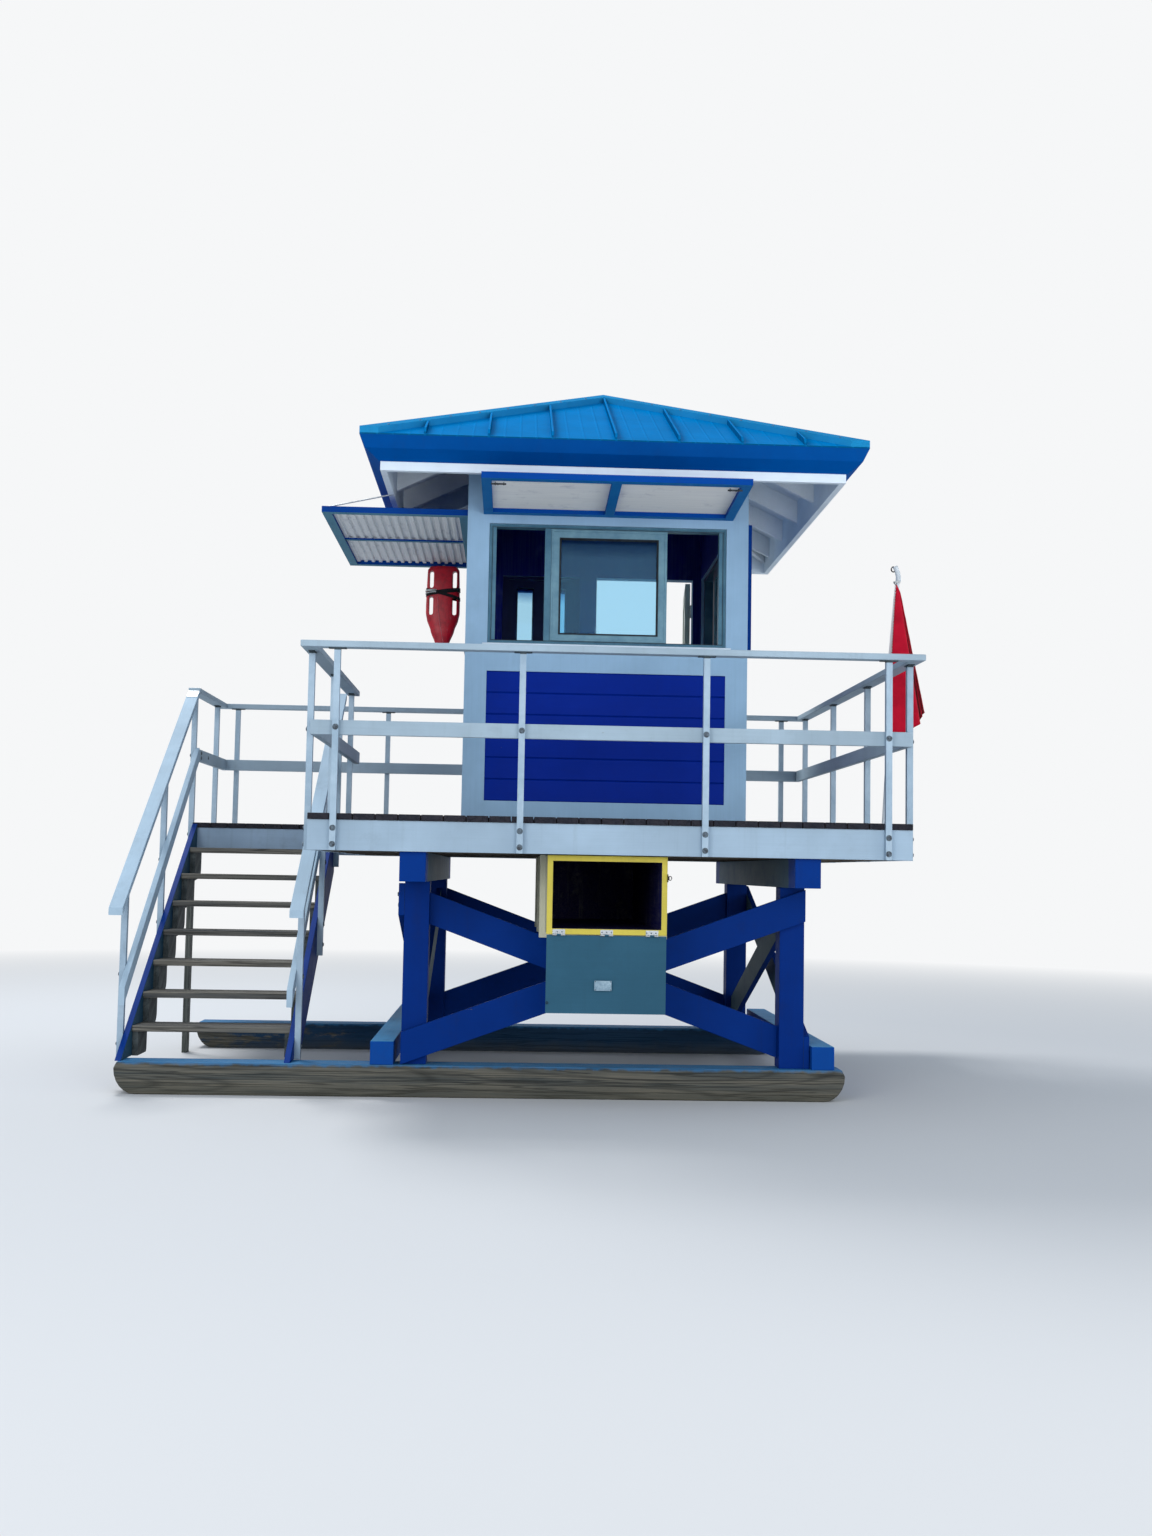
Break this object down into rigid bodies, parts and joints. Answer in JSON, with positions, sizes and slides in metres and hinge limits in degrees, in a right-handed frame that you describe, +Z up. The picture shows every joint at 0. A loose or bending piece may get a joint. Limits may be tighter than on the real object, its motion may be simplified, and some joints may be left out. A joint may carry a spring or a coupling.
{
  "type": "lifeguard tower",
  "caption": "Hip-roofed lifeguard cabin on a railed timber deck, carried by braced posts on sled runners, with a side stair, propped shutters, a hinged locker flap and a rear door",
  "frame": {"origin": "On the ground, under the middle of the whole outline", "axes": "+X to the right of the front, +Y to the rear, +Z up"},
  "size_m": [5.2332, 3.785, 4.9463],
  "materials": {
    "bare_timber": "bare weathered timber, light blue paint on top",
    "pale_paint": "pale blue paint on timber",
    "cobalt_paint": "cobalt blue paint on timber",
    "white_paint": "white paint on timber",
    "weathered_timber": "bare timber weathered grey-brown",
    "deck_timber": "dark brown deck boards",
    "aluminium_bars": "mill finish aluminium",
    "deep_blue_paint": "deep blue paint on timber",
    "window_glass": "clear glass",
    "galvanised_steel": "galvanised steel",
    "azure_roof": "azure coated steel sheet",
    "yellow_paint": "dull yellow paint on board",
    "cream_paint": "cream paint on board",
    "slate_paint": "slate blue paint on board",
    "red_plastic": "red moulded plastic",
    "pole_paint": "white painted tube",
    "red_cloth": "plain red cloth"
  },
  "bodies": {
    "tower": {"runners": "bare_timber", "sills": "pale_paint", "base_posts": "cobalt_paint", "braces": "cobalt_paint", "girders": "cobalt_paint", "end_rims": "white_paint", "side_rims": "white_paint", "floor_joists": "weathered_timber", "deck_boards": "deck_timber", "landing_frame": "white_paint", "landing_legs": "weathered_timber", "stair_stringers": "cobalt_paint", "stair_carriages": "weathered_timber", "stair_treads": "weathered_timber", "stair_rails": "white_paint", "rail_posts": "aluminium_bars", "front_rear_rails": "white_paint", "side_rails": "white_paint", "front_wall": "white_paint", "side_walls": "white_paint", "rear_wall": "white_paint", "door_jamb_wall": "white_paint", "door_head_wall": "white_paint", "siding_panels": "cobalt_paint", "sill_trim": "white_paint", "window_frames": "aluminium_bars", "window_sashes": "aluminium_bars", "window_glass": "window_glass", "front_shutter": "cobalt_paint", "left_shutter": "deep_blue_paint", "right_shutter": "deep_blue_paint", "rear_shutter": "cobalt_paint", "shutter_stays": "galvanised_steel", "rafters": "white_paint", "sub_fascia": "white_paint", "roof_fascia": "deep_blue_paint", "roof_boards": "white_paint", "roof_panels": "azure_roof", "hip_caps": "azure_roof", "locker_hangers": "cream_paint", "locker_box": "cream_paint", "locker_mouth": "yellow_paint", "hinges": "galvanised_steel", "rescue_can": "red_plastic", "flag_pole": "pole_paint", "flag": "red_cloth"},
    "flap": {"locker_flap": "slate_paint"},
    "door_leaf": {"rear_door": "white_paint"}
  },
  "joints": [
    {"name": "locker_flap_hinge", "type": "hinge", "parent": "tower", "child": "flap", "pos_m": [0.4769, -1.762, 1.045], "axis": [-1, 0, 0], "range_deg": [0, 180]},
    {"name": "rear_door_hinge", "type": "hinge", "parent": "tower", "child": "door_leaf", "pos_m": [1.2789, 0.952, 1.751], "axis": [0, 0, -1], "range_deg": [-95, 75]}
  ]
}
